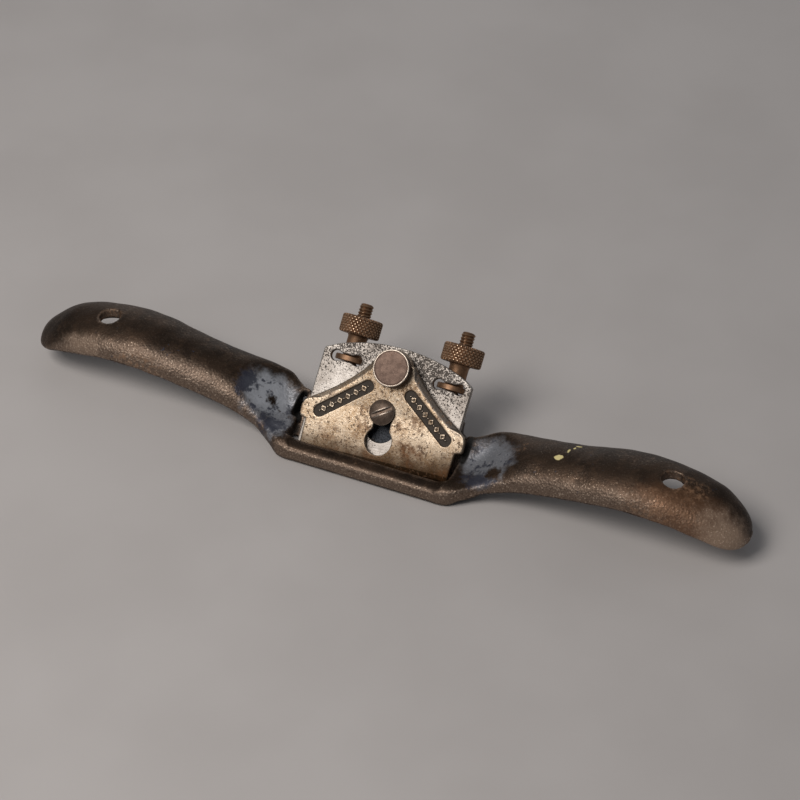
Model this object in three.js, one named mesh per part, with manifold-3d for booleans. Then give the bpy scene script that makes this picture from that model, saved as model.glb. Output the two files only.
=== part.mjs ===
// A metal spokeshave with a flat sole and raised handles, in millimetres.
// +X runs along the right-hand handle, +Y points back from the toe to the heel, and +Z points up
// from the sole. The origin lies on the sole, midway between the handles.
//
// The cutter lies on a bed that slopes back at 45 degrees. Everything on it is drawn in the bed's
// own frame: x across the cutter, s up the slope from the mouth, and h square to the cutter's face.

import * as THREE from "three";
import { mergeVertices } from "three/addons/utils/BufferGeometryUtils.js";
import Module from "manifold-3d";

const wasm = await Module();
wasm.setup();

const GAP = 0.3;
const ROUND_SIDES = 28;

// Sole, toe bar and heel
const TOE_FRONT_Y = -12.5;
const TOE_BACK_Y = -6.3;
const TOE_HEIGHT = 5.5;
const HEEL_BACK_Y = 12.5;
const HEEL_HEIGHT = 4.2;
const TOE_STRAIGHT_X = 29;
const TOE_SWEEP_X = 35.6;
const MOUTH_HALF_WIDTH = 28.6;
const CHEEK_X = 30.2;
const LEDGE_HEIGHT = 6.5;
const LEDGE_BACK_Y = 5.4;
const CHEEK_OVERLAP = 2;
const CHEEK_TOP_S = 15.5;

// Bed
const BED_ANGLE = Math.PI / 4;
const BED_FOOT_Y = -4.4;
const BED_H = -2.3;
const BED_TOP_S = 23.5;
const BED_THICKNESS = 5.2;
const BED_HALF_WIDTH = 25.5;
const BED_SHOULDER_S = 16.5;
const BED_NECK_S = 20;
const SET_BACK = 0.1;

// Cutter
const CUTTER_THICKNESS = 2;
const CUTTER_HALF_WIDTH = 26.3;
const CUTTER_EDGE_S = 0.4;
const CUTTER_CORNER_S = 34.7;
const CUTTER_CROWN = 6.3;
const CUTTER_ARC_X = 23.6;
const CUTTER_ARC_S = 36.4;
const BEVEL_ANGLE = THREE.MathUtils.degToRad(25);
const OPENING_RADIUS = 5.15;
const OPENING_LOW_S = 13.95;
const OPENING_HIGH_S = 19;
const SLOT_X = 18.4;
const SLOT_S = 32.9;
const SLOT_LENGTH = 11.2;
const SLOT_END_RADIUS = 1.75;
const SLOT_WAIST = 2.5;

// Studs and adjusting nuts
const STUD_H = -5.5;
const STUD_RADIUS = 2.4;
const STUD_FOOT_S = 13;
const STUD_TOP_S = 52.2;
const BOSS_RADIUS = 5;
const BOSS_FOOT_S = 12;
const BOSS_TOP_S = 26;
const NUT_BORE_RADIUS = 2.65;
const NUT_NECK_RADIUS = 3.3;
const NUT_FLANGE_RADIUS = 5.5;
const NUT_FLANGE_THICKNESS = 1.9;
const NUT_HEAD_RADIUS = 6.95;
const NUT_HEAD_LOW_S = 41.15;
const NUT_HEAD_HIGH_S = 47.45;
const NUT_CHAMFER = 0.6;

// Lever cap
const KEYHOLE_S = 9.2;
const KEYHOLE_RADIUS = 4.7;
const KEYHOLE_NECK_HALF_WIDTH = 3;
const CAP_SCREW_S = 18.7;
const THUMB_SCREW_S = 33.4;
const CAP_BOSS_RADIUS = 6.5;
const CAP_BOSS_START = 0.4;
// The keyhole is wider than the screw in it, so the cap stands a little askew about its thumb screw.
const CAP_SKEW = THREE.MathUtils.degToRad(2.6);
const PANEL_INNER = [7.6, 26];
const PANEL_OUTER = [22.3, 14.6];
const PANEL_RADIUS = 2;
const PANEL_DEPTH = 0.5;

// Screws
const THUMB_SHANK_RADIUS = 2.6;
const THUMB_HEAD_RADIUS = 6.35;
const THUMB_HEAD_LOW_H = 4.95;
const THUMB_HEAD_HIGH_H = 7.9;
const CAP_SCREW_SHANK_RADIUS = 2.3;
const CAP_SCREW_FOOT_H = -8.5;
const CAP_SCREW_HEAD_RADIUS = 4.5;
const CAP_SCREW_HEAD_LOW_H = 3.45;
const CAP_SCREW_HEAD_HIGH_H = 4.95;
const DRIVER_SLOT_WIDTH = 1.2;
const DRIVER_SLOT_DEPTH = 0.9;
const DRIVER_SLOT_ANGLE = THREE.MathUtils.degToRad(35);

// Handles
const HANDLE_TIP_X = 127.3;
const TIP_START_X = 109;
const TIP_FULLNESS = 2.4;
const HANG_HOLE_X = 100.5;
const HANG_HOLE_Y = 6.7;
const HANG_HOLE_RADIUS = 3.6;
const RIM_WIDTH = 3.2;
const HOLLOW_START = 0.2;
const SECTION_POINTS = 15;
const ARM_RINGS = 18;
const TIP_RINGS = 7;
const TIP_END_SHARE = 0.4;

// Sections of the right-hand handle. At each x: the front and back edges (y and z), the height of
// the crown above their chord, how square its shoulders are (1 is a half ellipse, less is squarer),
// the depth of the dish in the top, and the arch of the hollow below.
const HANDLE_SECTIONS = [
  { x: 30.2, front: [-9.4, 3.2], back: [12.7, 8.7], crown: 4.0, squareness: 0.5, dish: 3.6, arch: -0.6 },
  { x: 33, front: [-8.6, 3.2], back: [14.4, 8.8], crown: 4.2, squareness: 0.5, dish: 3.4, arch: -0.6 },
  { x: 37, front: [-6.6, 3.4], back: [16.8, 9.6], crown: 4.5, squareness: 0.5, dish: 2.6, arch: 0.5 },
  { x: 42, front: [-5.2, 5.2], back: [18.0, 9.9], crown: 5.2, squareness: 0.55, dish: 1.3, arch: 1.6 },
  { x: 50, front: [-4.3, 7.8], back: [18.4, 9.8], crown: 7.6, squareness: 0.75, dish: 0.2, arch: 3.6 },
  { x: 60, front: [-4.3, 10.4], back: [18.7, 10.9], crown: 8.3, squareness: 1, dish: 0, arch: 4.8 },
  { x: 70, front: [-4.7, 12.4], back: [19.1, 12.4], crown: 8.4, squareness: 1, dish: 0, arch: 4.8 },
  { x: 85, front: [-5.6, 15.2], back: [20.0, 15.2], crown: 8.4, squareness: 1, dish: 0, arch: 4.8 },
  { x: 100, front: [-5.6, 15.0], back: [20.0, 15.0], crown: 8.4, squareness: 1, dish: 0, arch: 4.8 },
  { x: 114, front: [-4.8, 11.9], back: [19.2, 12.1], crown: 8.4, squareness: 1, dish: 0, arch: 4.8 },
  { x: 128, front: [-4.6, 7.2], back: [18.6, 7.6], crown: 8.0, squareness: 1, dish: 0, arch: 4.8 },
];

// ---- Solids ----

function solidOf(geometry) {
  const bare = geometry.clone();
  bare.deleteAttribute("normal");
  bare.deleteAttribute("uv");
  const merged = mergeVertices(bare, 1e-4);
  const mesh = new wasm.Mesh({
    numProp: 3,
    vertProperties: merged.attributes.position.array,
    triVerts: new Uint32Array(merged.index.array),
  });
  return new wasm.Manifold(mesh);
}

function geometryOf(solid) {
  const mesh = solid.getMesh();
  const geometry = new THREE.BufferGeometry();
  geometry.setAttribute("position", new THREE.BufferAttribute(mesh.vertProperties.slice(), 3));
  geometry.setIndex(new THREE.BufferAttribute(mesh.triVerts.slice(), 1));
  return geometry;
}

function union(solids) {
  return solids.reduce((whole, next) => whole.add(next));
}

function mirrored(solid) {
  const copy = geometryOf(solid).scale(-1, 1, 1);
  const order = copy.index.array;
  for (let i = 0; i < order.length; i += 3) {
    [order[i], order[i + 1]] = [order[i + 1], order[i]];
  }
  return solidOf(copy);
}

function outline(points) {
  return new THREE.Shape(points.map(([u, v]) => new THREE.Vector2(u, v)));
}

// A prism standing on a plan drawn in x and y, from one height to another.
function upright(shape, low, high) {
  const options = { depth: high - low, bevelEnabled: false, curveSegments: ROUND_SIDES / 2 };
  return new THREE.ExtrudeGeometry(shape, options).translate(0, 0, low);
}

// A prism with a side profile drawn in y and z, from one x to another.
function sideways(shape, left, right) {
  const turn = new THREE.Matrix4().makeBasis(
    new THREE.Vector3(0, 1, 0), new THREE.Vector3(0, 0, 1), new THREE.Vector3(1, 0, 0));
  return upright(shape, left, right).applyMatrix4(turn);
}

function rod(radius, low, high, x, y) {
  const cylinder = new THREE.CylinderGeometry(radius, radius, high - low, ROUND_SIDES);
  return cylinder.rotateX(Math.PI / 2).translate(x, y, (low + high) / 2);
}

// A turned piece: radius and height pairs that start and end on the axis, or close on themselves.
function turned(profile, sides = ROUND_SIDES) {
  const points = profile.map(([radius, height]) => new THREE.Vector2(radius, height));
  return new THREE.LatheGeometry(points, sides).rotateX(Math.PI / 2);
}

const bedToBody = new THREE.Matrix4()
  .makeRotationX(BED_ANGLE)
  .setPosition(0, BED_FOOT_Y, 0);

function onBed(geometry) {
  return geometry.applyMatrix4(bedToBody);
}

// ---- Body casting ----

const sectionNumbers = HANDLE_SECTIONS.flatMap((section) => [
  ...section.front, ...section.back, section.crown, section.squareness, section.dish, section.arch,
]);
const sectionCurve = new THREE.CubicInterpolant(
  HANDLE_SECTIONS.map((section) => section.x), sectionNumbers,
  sectionNumbers.length / HANDLE_SECTIONS.length);

// The closed outline of a handle at x, as y and z pairs: over the top from the front edge to the
// back edge, round the back rim, and forward along the hollow underside.
function handleSection(x) {
  const [frontY, frontZ, backY, backZ, crown, squareness, dish, arch] = sectionCurve.evaluate(x);
  const tipShare = Math.max(0, (x - TIP_START_X) / (HANDLE_TIP_X - TIP_START_X));
  const tip = (1 - tipShare ** TIP_FULLNESS) ** (1 / TIP_FULLNESS);
  const middleY = (frontY + backY) / 2;
  const halfWidth = tip * (backY - frontY) / 2;
  const slope = (backZ - frontZ) / (backY - frontY);
  const middleZ = (frontZ + backZ) / 2;
  const rim = Math.min(RIM_WIDTH, halfWidth * 0.9);
  const points = [];
  for (let i = 0; i <= SECTION_POINTS; i++) {
    const angle = Math.PI * i / SECTION_POINTS;
    const y = -halfWidth * Math.cos(angle);
    const rise = Math.sin(angle);
    const height = tip * (crown * rise ** squareness - dish * rise ** 3);
    points.push([middleY + y, middleZ + slope * y + height]);
  }
  for (let i = 0; i <= SECTION_POINTS; i++) {
    const angle = Math.PI * i / SECTION_POINTS;
    const y = (halfWidth - rim / 2) * Math.cos(angle);
    const hollow = Math.max(0, (Math.sin(angle) - HOLLOW_START) / (1 - HOLLOW_START));
    const height = tip * (arch * hollow - rim / 2);
    points.push([middleY + y, middleZ + slope * y + height]);
  }
  return points;
}

function handle() {
  const stations = [];
  for (let i = 0; i <= ARM_RINGS; i++) {
    stations.push(CHEEK_X + (TIP_START_X - CHEEK_X) * (i / ARM_RINGS) ** 1.25);
  }
  for (let i = 1; i <= TIP_RINGS; i++) {
    const angle = 0.5 * Math.PI * i / (TIP_RINGS + TIP_END_SHARE);
    stations.push(TIP_START_X + (HANDLE_TIP_X - TIP_START_X) * Math.sin(angle));
  }
  const rings = stations.map((x) => handleSection(x).map(([y, z]) => new THREE.Vector3(x, y, z)));
  return loft(rings);
}

// A skin over rings of equal length. A sphere's net gives the faces, and its poles close the ends.
function loft(rings) {
  const around = rings[0].length;
  const net = new THREE.SphereGeometry(1, around, rings.length + 1);
  const position = net.attributes.position;
  const middle = (ring) => ring.reduce((sum, point) => sum.add(point), new THREE.Vector3())
    .divideScalar(around);
  for (let row = 0; row <= rings.length + 1; row++) {
    const isPole = row === 0 || row === rings.length + 1;
    const ring = rings[THREE.MathUtils.clamp(row - 1, 0, rings.length - 1)];
    for (let column = 0; column <= around; column++) {
      const point = isPole ? middle(ring) : ring[column % around];
      position.setXYZ(row * (around + 1) + column, point.x, point.y, point.z);
    }
  }
  return net;
}

function bedPoint(s, h) {
  const point = new THREE.Vector3(0, s, h).applyMatrix4(bedToBody);
  return [point.y, point.z];
}

function toeProfile() {
  return outline([
    [TOE_BACK_Y, 0], [TOE_BACK_Y, TOE_HEIGHT], [TOE_FRONT_Y + 2.2, TOE_HEIGHT],
    [TOE_FRONT_Y + 0.6, TOE_HEIGHT - 0.9], [TOE_FRONT_Y, TOE_HEIGHT - 2.3], [TOE_FRONT_Y, 0.6],
    [TOE_FRONT_Y + 0.6, 0],
  ]);
}

// The plan of the toe bar, whose front sweeps back into the handles.
function toePlan() {
  const side = new THREE.Path();
  side.moveTo(TOE_SWEEP_X, TOE_BACK_Y + 1);
  side.bezierCurveTo(TOE_SWEEP_X - 2.5, TOE_FRONT_Y + 4, TOE_STRAIGHT_X + 3, TOE_FRONT_Y,
    TOE_STRAIGHT_X, TOE_FRONT_Y);
  const right = side.getPoints(7).map((point) => [point.x, point.y]);
  const left = right.map(([x, y]) => [-x, y]).reverse();
  return outline([...left, ...right].reverse());
}

function heelProfile() {
  return outline([
    bedPoint(-BED_H, BED_H), [HEEL_BACK_Y, 0], [HEEL_BACK_Y, HEEL_HEIGHT],
    bedPoint(BED_TOP_S, BED_H - BED_THICKNESS), bedPoint(BED_TOP_S, BED_H),
  ]);
}

function cheekProfile() {
  return outline([
    [TOE_BACK_Y, 0], [HEEL_BACK_Y, 0], [HEEL_BACK_Y, HEEL_HEIGHT],
    bedPoint(CHEEK_TOP_S, BED_H - BED_THICKNESS + 1), bedPoint(CHEEK_TOP_S, BED_H - SET_BACK),
    [LEDGE_BACK_Y, LEDGE_HEIGHT], [TOE_BACK_Y, TOE_HEIGHT],
  ]);
}

function bedPlan() {
  const wide = MOUTH_HALF_WIDTH + CHEEK_OVERLAP;
  const half = [
    [wide, -5], [wide, BED_SHOULDER_S], [BED_HALF_WIDTH, BED_NECK_S],
    [BED_HALF_WIDTH, BED_TOP_S + 1],
  ];
  const other = half.map(([x, s]) => [-x, s]).reverse();
  return outline([...half, ...other]);
}

function studBosses() {
  const aboveBed = upright(outline([[-40, 0], [40, 0], [40, 60], [-40, 60]]), BED_H - SET_BACK, 20);
  const bosses = [-SLOT_X, SLOT_X].map((x) => {
    const boss = turned([
      [0, BOSS_FOOT_S], [BOSS_RADIUS, BOSS_FOOT_S + 3], [BOSS_RADIUS, BOSS_TOP_S], [0, BOSS_TOP_S],
    ]);
    boss.rotateX(-Math.PI / 2).rotateY(Math.PI / ROUND_SIDES).translate(x, 0, STUD_H);
    return solidOf(onBed(boss));
  });
  return union(bosses).subtract(solidOf(onBed(aboveBed)));
}

function bodyCasting() {
  const heel = solidOf(sideways(heelProfile(), -MOUTH_HALF_WIDTH, MOUTH_HALF_WIDTH))
    .intersect(solidOf(onBed(upright(bedPlan(), -20, 5))));
  const toe = solidOf(sideways(toeProfile(), -TOE_SWEEP_X - 1, TOE_SWEEP_X + 1))
    .intersect(solidOf(upright(toePlan(), -1, TOE_HEIGHT + 1)));
  const cheek = solidOf(sideways(cheekProfile(), MOUTH_HALF_WIDTH, CHEEK_X + CHEEK_OVERLAP));
  const side = cheek.add(solidOf(handle()));
  const studHoles = [-SLOT_X, SLOT_X].map((x) => rod(STUD_RADIUS + GAP, 0, 60, 0, 0)
    .rotateX(-Math.PI / 2).translate(x, STUD_FOOT_S - GAP, STUD_H));
  const cuts = [
    rod(HANG_HOLE_RADIUS, 0, 40, HANG_HOLE_X, HANG_HOLE_Y),
    rod(HANG_HOLE_RADIUS, 0, 40, -HANG_HOLE_X, HANG_HOLE_Y),
    onBed(rod(CAP_SCREW_SHANK_RADIUS + GAP, -20, 5, 0, CAP_SCREW_S)),
    ...studHoles.map(onBed),
  ];
  const whole = union([heel, toe, studBosses(), side, mirrored(side)]);
  return whole.subtract(union(cuts.map(solidOf)));
}

// ---- Cutter ----

function stadium(x, low, high, radius) {
  const path = new THREE.Path();
  path.absarc(x, high, radius, 0, Math.PI, false);
  path.absarc(x, low, radius, Math.PI, 2 * Math.PI, false);
  return path;
}

// The slot for a nut's flange: a narrow waist between two round ends.
function flangeSlot(x) {
  const waist = SLOT_WAIST / 2;
  const endX = SLOT_LENGTH / 2 - SLOT_END_RADIUS;
  const meet = Math.asin(waist / SLOT_END_RADIUS);
  const path = new THREE.Path();
  path.absarc(x + endX, SLOT_S, SLOT_END_RADIUS, -Math.PI + meet, Math.PI - meet, false);
  path.absarc(x - endX, SLOT_S, SLOT_END_RADIUS, meet, 2 * Math.PI - meet, false);
  path.closePath();
  return path;
}

function cutterPlan() {
  const shape = new THREE.Shape();
  const rise = CUTTER_CORNER_S + CUTTER_CROWN - CUTTER_ARC_S;
  const radius = (CUTTER_ARC_X ** 2 + rise ** 2) / (2 * rise);
  const half = Math.asin(CUTTER_ARC_X / radius);
  shape.moveTo(-CUTTER_HALF_WIDTH, -1);
  shape.lineTo(CUTTER_HALF_WIDTH, -1);
  shape.lineTo(CUTTER_HALF_WIDTH, CUTTER_CORNER_S);
  shape.absarc(0, CUTTER_CORNER_S + CUTTER_CROWN - radius, radius, Math.PI / 2 - half,
    Math.PI / 2 + half, false);
  shape.lineTo(-CUTTER_HALF_WIDTH, CUTTER_CORNER_S);
  shape.holes = [
    stadium(0, OPENING_LOW_S, OPENING_HIGH_S, OPENING_RADIUS),
    flangeSlot(-SLOT_X),
    flangeSlot(SLOT_X),
  ];
  return shape;
}

function cutter() {
  const bevel = CUTTER_THICKNESS / Math.tan(BEVEL_ANGLE);
  const profile = outline([
    [CUTTER_EDGE_S, 0], [CUTTER_EDGE_S + bevel, -CUTTER_THICKNESS], [50, -CUTTER_THICKNESS], [50, 0],
  ]);
  const plate = solidOf(upright(cutterPlan(), -5, 5));
  return plate.intersect(solidOf(sideways(profile, -40, 40)));
}

// ---- Lever cap ----

function capPlan() {
  const shape = new THREE.Shape();
  const side = (sign) => {
    const curve = new THREE.Path();
    curve.moveTo(sign * 25.2, 0);
    curve.lineTo(sign * 25.8, 1.2);
    curve.lineTo(sign * 26.5, 11);
    curve.lineTo(sign * 28.5, 11.6);
    curve.quadraticCurveTo(sign * 28.9, 11.7, sign * 28.9, 12.6);
    curve.lineTo(sign * 28.9, 15.4);
    curve.quadraticCurveTo(sign * 28.8, 17.2, sign * 25.9, 19);
    curve.quadraticCurveTo(sign * 16.5, 24.6, sign * 9.6, 32.2);
    curve.quadraticCurveTo(sign * 7.9, 34, sign * 7.2, 35.6);
    return curve.getPoints(5);
  };
  const boss = new THREE.Path();
  boss.absarc(0, THUMB_SCREW_S, CAP_BOSS_RADIUS, CAP_BOSS_START, Math.PI - CAP_BOSS_START, false);
  shape.setFromPoints([...side(1), ...boss.getPoints(10), ...side(-1).reverse()]);
  const meet = Math.asin(KEYHOLE_NECK_HALF_WIDTH / KEYHOLE_RADIUS);
  const keyhole = new THREE.Path();
  keyhole.absarc(0, KEYHOLE_S, KEYHOLE_RADIUS, Math.PI / 2 + meet, Math.PI / 2 - meet + 2 * Math.PI, false);
  keyhole.absarc(0, CAP_SCREW_S, KEYHOLE_NECK_HALF_WIDTH, 0, Math.PI, false);
  keyhole.closePath();
  const screwHole = new THREE.Path();
  screwHole.absarc(0, THUMB_SCREW_S, THUMB_SHANK_RADIUS + GAP, 0, 2 * Math.PI, false);
  shape.holes = [keyhole, screwHole];
  return shape;
}

// The cap bows away from the cutter: its foot bears on it and its top stands clear.
const CAP_TOP_PROFILE = [[0.9, 0.7], [1.5, 1.3], [3, 1.8], [6, 2.05], [18.7, 2.7], [41, 4.9]];
const CAP_BACK_PROFILE = [[41, 2.9], [33.4, 2.3], [18.7, 0.8], [9, GAP], [0.9, GAP]];

// The recessed panels, whose round ends are centred on PANEL_INNER and PANEL_OUTER.
function capPanels() {
  const [innerX, innerS] = PANEL_INNER;
  const [outerX, outerS] = PANEL_OUTER;
  const length = Math.hypot(outerX - innerX, innerS - outerS);
  const slant = Math.atan2(outerX - innerX, innerS - outerS);
  const plan = new THREE.Shape(stadium(0, -length, 0, PANEL_RADIUS).getPoints(8));
  const above = CAP_TOP_PROFILE.map(([s, h]) => [s, h - PANEL_DEPTH]);
  const layer = solidOf(sideways(outline([...above, [41, 12], [0.9, 12]]), -40, 40));
  const pills = [-1, 1].map((sign) => {
    const pill = upright(plan, -1, 11).rotateZ(sign * slant).translate(sign * innerX, innerS, 0);
    return solidOf(pill);
  });
  return union(pills).intersect(layer);
}

function leverCap() {
  const profile = outline([...CAP_TOP_PROFILE, ...CAP_BACK_PROFILE]);
  const plate = solidOf(upright(capPlan(), -1, 11)).intersect(solidOf(sideways(profile, -40, 40)));
  return plate.subtract(capPanels());
}

// ---- Turned pieces ----

function thumbScrew() {
  const neck = THUMB_HEAD_LOW_H;
  return turned([
    [0, GAP], [THUMB_SHANK_RADIUS - 0.4, GAP], [THUMB_SHANK_RADIUS, GAP + 0.4],
    [THUMB_SHANK_RADIUS, neck], [THUMB_HEAD_RADIUS - 0.3, neck], [THUMB_HEAD_RADIUS, neck + 0.3],
    [THUMB_HEAD_RADIUS, THUMB_HEAD_HIGH_H - 0.4], [THUMB_HEAD_RADIUS - 0.4, THUMB_HEAD_HIGH_H],
    [0, THUMB_HEAD_HIGH_H],
  ], 40);
}

function capScrew() {
  const screw = turned([
    [0, CAP_SCREW_FOOT_H], [CAP_SCREW_SHANK_RADIUS - 0.4, CAP_SCREW_FOOT_H],
    [CAP_SCREW_SHANK_RADIUS, CAP_SCREW_FOOT_H + 0.4], [CAP_SCREW_SHANK_RADIUS, CAP_SCREW_HEAD_LOW_H],
    [CAP_SCREW_HEAD_RADIUS, CAP_SCREW_HEAD_LOW_H], [CAP_SCREW_HEAD_RADIUS, CAP_SCREW_HEAD_HIGH_H - 0.5],
    [CAP_SCREW_HEAD_RADIUS - 0.9, CAP_SCREW_HEAD_HIGH_H], [0, CAP_SCREW_HEAD_HIGH_H],
  ], 32);
  const slot = new THREE.BoxGeometry(12, DRIVER_SLOT_WIDTH, 2 * DRIVER_SLOT_DEPTH)
    .rotateZ(DRIVER_SLOT_ANGLE).translate(0, 0, CAP_SCREW_HEAD_HIGH_H);
  return solidOf(screw).subtract(solidOf(slot));
}

function adjustingStud() {
  const chamfer = 0.5;
  return turned([
    [0, STUD_FOOT_S], [STUD_RADIUS, STUD_FOOT_S], [STUD_RADIUS, STUD_TOP_S - chamfer],
    [STUD_RADIUS - chamfer, STUD_TOP_S], [0, STUD_TOP_S],
  ], 20);
}

function adjustingNut() {
  const flangeLow = SLOT_S - NUT_FLANGE_THICKNESS / 2;
  const flangeHigh = SLOT_S + NUT_FLANGE_THICKNESS / 2;
  return turned([
    [NUT_BORE_RADIUS, flangeLow], [NUT_FLANGE_RADIUS, flangeLow], [NUT_FLANGE_RADIUS, flangeHigh],
    [NUT_NECK_RADIUS, flangeHigh], [NUT_NECK_RADIUS, NUT_HEAD_LOW_S],
    [NUT_HEAD_RADIUS - NUT_CHAMFER, NUT_HEAD_LOW_S], [NUT_HEAD_RADIUS, NUT_HEAD_LOW_S + NUT_CHAMFER],
    [NUT_HEAD_RADIUS, NUT_HEAD_HIGH_S - NUT_CHAMFER], [NUT_HEAD_RADIUS - NUT_CHAMFER, NUT_HEAD_HIGH_S],
    [NUT_BORE_RADIUS, NUT_HEAD_HIGH_S], [NUT_BORE_RADIUS, flangeLow],
  ], 36);
}

// ---- Assembly ----

function piece(name, geometry, color, roughness, metalness) {
  const material = new THREE.MeshStandardMaterial({ color, roughness, metalness, flatShading: true });
  const mesh = new THREE.Mesh(geometry, material);
  mesh.name = name;
  return mesh;
}

const group = new THREE.Group();
group.name = "spokeshave";
group.add(piece("body_casting", geometryOf(bodyCasting()), 0x3a3029, 0.6, 0.6));

const bed = new THREE.Group();
bed.position.set(0, BED_FOOT_Y, 0);
bed.rotation.x = BED_ANGLE;
group.add(bed);
bed.add(piece("cutter", geometryOf(cutter()), 0xc9c4bb, 0.4, 0.9));

const capTurn = new THREE.Group();
capTurn.position.y = THUMB_SCREW_S;
capTurn.rotation.z = CAP_SKEW;
const cap = piece("lever_cap", geometryOf(leverCap()), 0xa89a85, 0.45, 0.8);
cap.position.y = -THUMB_SCREW_S;
capTurn.add(cap);
bed.add(capTurn);

const thumb = piece("thumb_screw", thumbScrew(), 0x6a5850, 0.5, 0.7);
thumb.position.y = THUMB_SCREW_S;
const screw = piece("cap_screw", geometryOf(capScrew()), 0x4a3c34, 0.5, 0.7);
screw.position.y = CAP_SCREW_S;
bed.add(thumb, screw);

for (const [side, x] of [["left", -SLOT_X], ["right", SLOT_X]]) {
  const stud = piece(`adjusting_stud_${side}`, adjustingStud(), 0x5a4334, 0.55, 0.7);
  const nut = piece(`adjusting_nut_${side}`, adjustingNut(), 0x5f4a38, 0.5, 0.7);
  for (const turnedPiece of [stud, nut]) {
    turnedPiece.position.set(x, 0, STUD_H);
    turnedPiece.rotation.x = -Math.PI / 2;
    bed.add(turnedPiece);
  }
}

export default group;
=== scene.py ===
"""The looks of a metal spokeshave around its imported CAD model. Lengths are in millimetres until
a mesh is made. The bed's own frame is x across the cutter, s up the slope and h off its face."""

import math

import bpy
import numpy as np
from mathutils import Matrix, Vector


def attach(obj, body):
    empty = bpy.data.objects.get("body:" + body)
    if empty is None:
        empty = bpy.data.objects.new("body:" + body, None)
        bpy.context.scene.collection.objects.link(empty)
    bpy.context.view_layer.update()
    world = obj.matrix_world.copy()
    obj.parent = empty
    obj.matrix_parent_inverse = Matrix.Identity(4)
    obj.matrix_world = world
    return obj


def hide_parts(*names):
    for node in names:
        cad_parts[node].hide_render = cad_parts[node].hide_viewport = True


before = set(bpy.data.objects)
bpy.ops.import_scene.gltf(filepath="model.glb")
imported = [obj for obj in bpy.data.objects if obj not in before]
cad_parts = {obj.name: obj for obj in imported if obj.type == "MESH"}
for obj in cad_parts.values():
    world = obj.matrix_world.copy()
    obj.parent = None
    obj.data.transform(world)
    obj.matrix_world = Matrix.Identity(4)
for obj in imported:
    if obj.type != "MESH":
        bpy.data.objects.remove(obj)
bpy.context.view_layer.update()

MM = 0.001
DIAGONAL = math.sqrt(0.5)

# Bed and cutter
BED_FOOT_Y = -4.4
BED_H = -2.3
BED_TOP_S = 23.5
BED_THICKNESS = 5.2
CUTTER_THICKNESS = 2.0
CUTTER_HALF_WIDTH = 26.3
CUTTER_EDGE_S = 0.4
CUTTER_CORNER_S = 34.7
CUTTER_CROWN = 6.3
CUTTER_ARC_X = 23.6
CUTTER_ARC_S = 36.4
BEVEL_ANGLE = math.radians(25)
OPENING_RADIUS = 5.15
OPENING_LOW_S = 13.95
OPENING_HIGH_S = 19.0
# The normal of the line that trims the two upper corners
CUTTER_CORNER_NORMAL = (0.533, 0.846)
SLOT_X = 18.4
SLOT_S = 32.9
SLOT_END_X = 3.85
SLOT_END_RADIUS = 1.75
SLOT_WAIST_HALF_WIDTH = 1.25

# Sole, toe bar and handles
TOE_FRONT_Y = -12.5
TOE_BACK_Y = -6.3
TOE_HEIGHT = 5.5
HEEL_BACK_Y = 12.5
HEEL_HEIGHT = 4.2
MOUTH_HALF_WIDTH = 28.6
CHEEK_X = 30.2
HANDLE_TIP_X = 127.3
TIP_START_X = 109.0
TIP_FULLNESS = 2.4
HANG_HOLE = (100.5, 6.7)
HANG_HOLE_RADIUS = 3.6
HOLE_POCKET_RADIUS = 6.2
HOLE_POCKET_TOP_Z = 19.2
RIM_WIDTH = 3.2
CHEEK_TOP_S = 15.5
SOLE_END_X = 31.0
SOLE_END_RISE = 1.4
SOLE_END_SLOPE = 0.5
# The hollow in the left shoulder's inner wall that clears the cap's ear, in -x and y
EAR_ROOM = np.array([[28.9, 11.6], [31.0, 11.6], [31.3, 8.0], [32.2, 4.2], [31.4, 3.0], [28.9, 2.5]])
EAR_ROOM_FLOOR_Z = 3.4
LEFT_MOUTH_HALF_WIDTH = 29.4
CUTTER_LEFT_SPARE = 0.8
CAP_LEFT_SPARE = 0.9

# Lever cap
CAP_SKEW = math.radians(2.6)
CAP_BOSS_RADIUS = 6.5
KEYHOLE_S = 9.2
KEYHOLE_RADIUS = 4.6
KEYHOLE_NECK_HALF_WIDTH = 2.95
PANEL_INNER = (7.6, 26.0)
PANEL_OUTER = (22.3, 14.6)
PANEL_HALF_WIDTH = 2.05
PANEL_DEPTH = 0.5
LOZENGES = 6

# Screws, studs and nuts
CAP_SCREW_S = 18.7
TAPPED_HOLE_RADIUS = 2.6
CAP_SCREW_HEAD_RADIUS = 4.5
CAP_SCREW_HEAD_LOW_H = 3.45
DRIVER_SLOT_ANGLE = math.radians(35)
THUMB_SCREW_S = 33.4
THUMB_HOLE_RADIUS = 2.9
THUMB_HEAD_RADIUS = 6.3
THUMB_REEDS = 72
STUD_H = -5.5
STUD_RADIUS = 2.4
STUD_LOW_S = 13.0
STUD_THREAD_TOP_S = 51.75
STUD_BOSS_RADIUS = 5.0
THREAD_PITCH = 1.06
THREAD_DEPTH = 0.42
NUT_BORE_RADIUS = 2.55
NUT_KNURL_RADIUS = 6.93
NUT_KNURL_DEPTH = 0.42
NUT_KNURL_COUNT = 30
NUT_KNURL_LEAN = 0.62

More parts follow.
